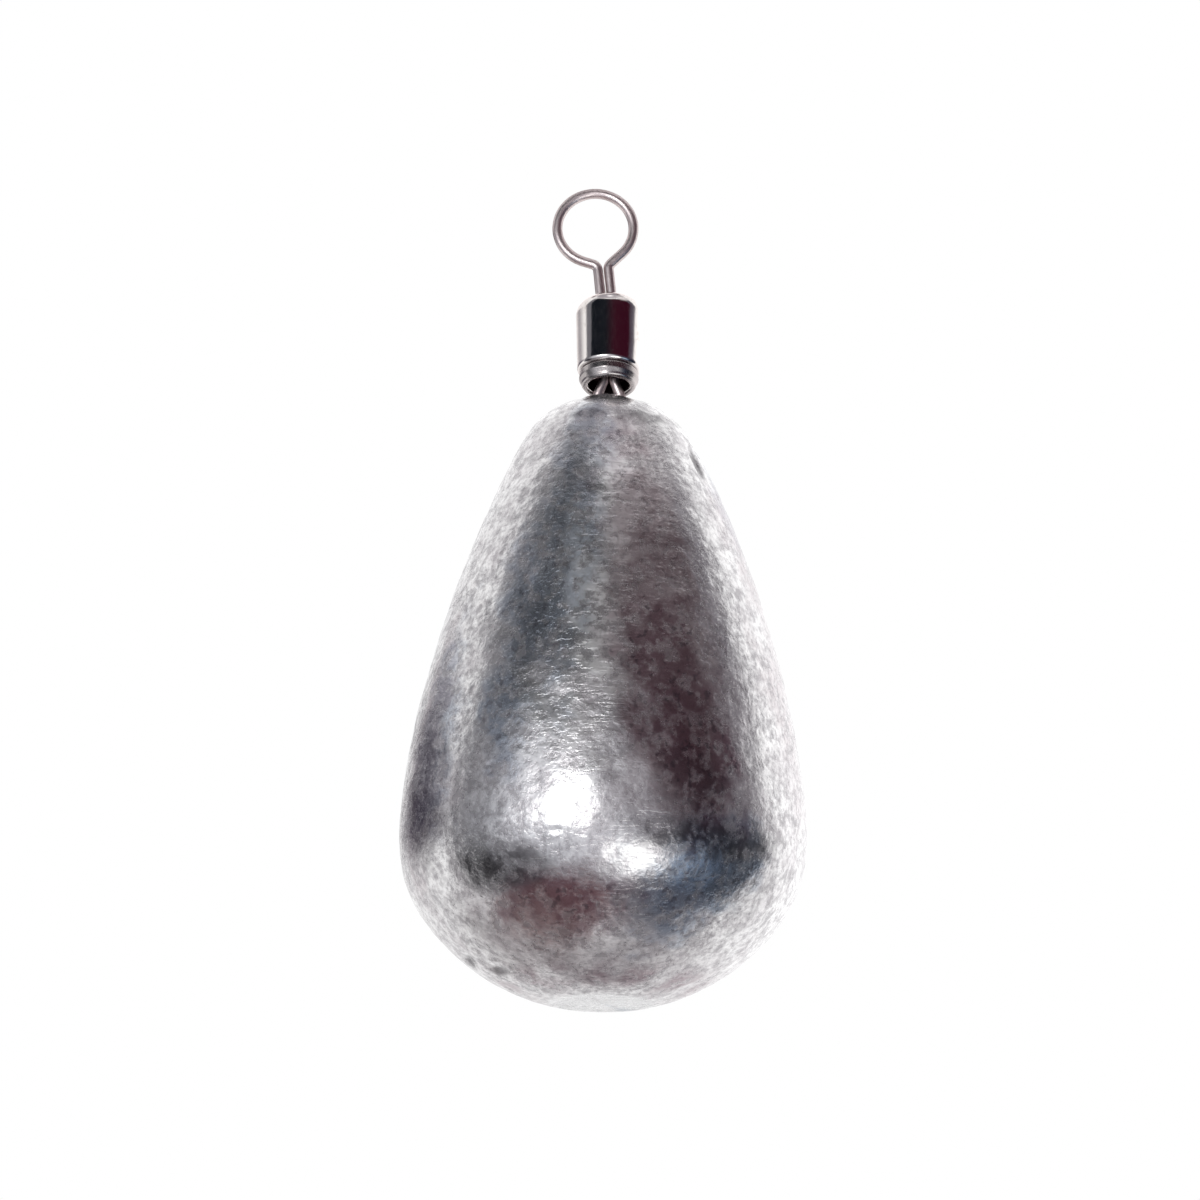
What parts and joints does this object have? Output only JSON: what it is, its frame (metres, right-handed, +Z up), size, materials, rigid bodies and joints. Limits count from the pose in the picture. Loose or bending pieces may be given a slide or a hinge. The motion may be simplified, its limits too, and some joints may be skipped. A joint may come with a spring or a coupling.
{
  "type": "fishing sinker",
  "caption": "Pear-shaped cast lead fishing sinker with a barrel swivel cast into its top; the swivel tilts on the lead and its line eye spins.",
  "frame": {"origin": "centre of the trimmed gate flat that the lead stands on, on the lead's own axis", "axes": "+Z up the axis of the lead towards the swivel, +X to the right and -Y towards the viewer of the picture; at rest the swivel leans back towards +Y"},
  "size_m": [0.0228, 0.0228, 0.0476],
  "materials": {
    "cast_lead": null,
    "nickel_barrel": "brass with bright nickel plating",
    "nickel_wire": "brass wire with bright nickel plating, faintly pinkish"
  },
  "bodies": {
    "sinker": {"lead_body": "cast_lead", "anchor_eye": "nickel_wire"},
    "barrel": {"swivel_barrel": "nickel_barrel"},
    "eye": {"line_eye": "nickel_wire"}
  },
  "joints": [
    {"name": "barrel_tilt", "type": "hinge", "parent": "sinker", "child": "barrel", "pos_m": [0, 0, 0.03687], "axis": [1, 0, 0], "range_deg": [0, 28]},
    {"name": "line_eye_spin", "type": "hinge", "parent": "barrel", "child": "eye", "pos_m": [0, 0.00057, 0.03914], "axis": [-0.1132, 0.1383, 0.9839], "continuous": true}
  ]
}
